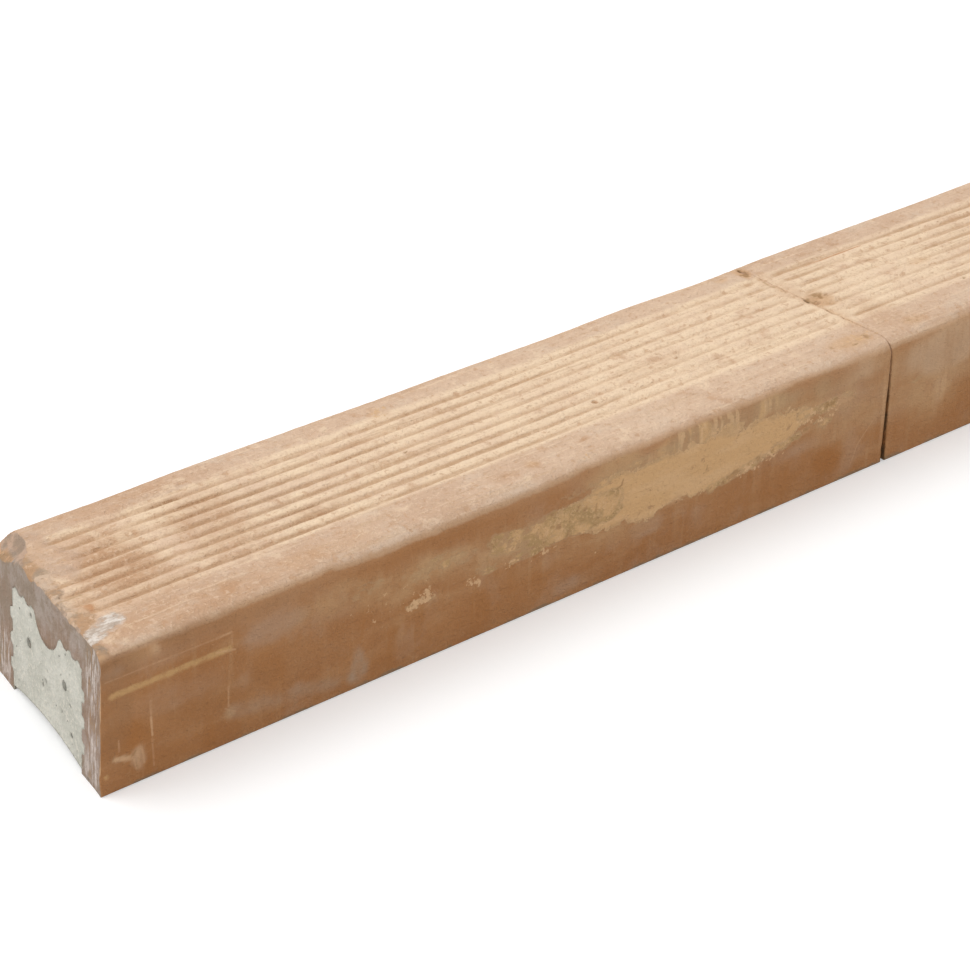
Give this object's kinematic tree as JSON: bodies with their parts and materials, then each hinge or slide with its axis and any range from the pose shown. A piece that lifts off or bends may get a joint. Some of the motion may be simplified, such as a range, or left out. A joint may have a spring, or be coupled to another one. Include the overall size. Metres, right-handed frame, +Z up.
{
  "type": "prestressed clay channel lintel",
  "caption": "Straight lintel of fired-clay channels end to end, filled with concrete round two prestressing wires, with plaster ribs along its upper face.",
  "frame": {"origin": "middle of the length and width, on the level floor that the channel legs rest on", "axes": "+X along the lintel away from the end that is out of square, +Y across it towards the back side, +Z up towards the ribbed face"},
  "size_m": [1.2, 0.1, 0.06],
  "materials": {
    "fired_clay": "matt fired clay with cream and orange streaks and dried mortar smears",
    "concrete": "light grey cast concrete with fine pores",
    "wire_steel": "dull grey cut ends of drawn steel wire"
  },
  "bodies": {
    "root": {"clay_channel_near": "fired_clay", "clay_channel_middle": "fired_clay", "clay_channel_far": "fired_clay", "concrete_core": "concrete", "prestressing_wire_front": "wire_steel", "prestressing_wire_back": "wire_steel"}
  },
  "joints": []
}
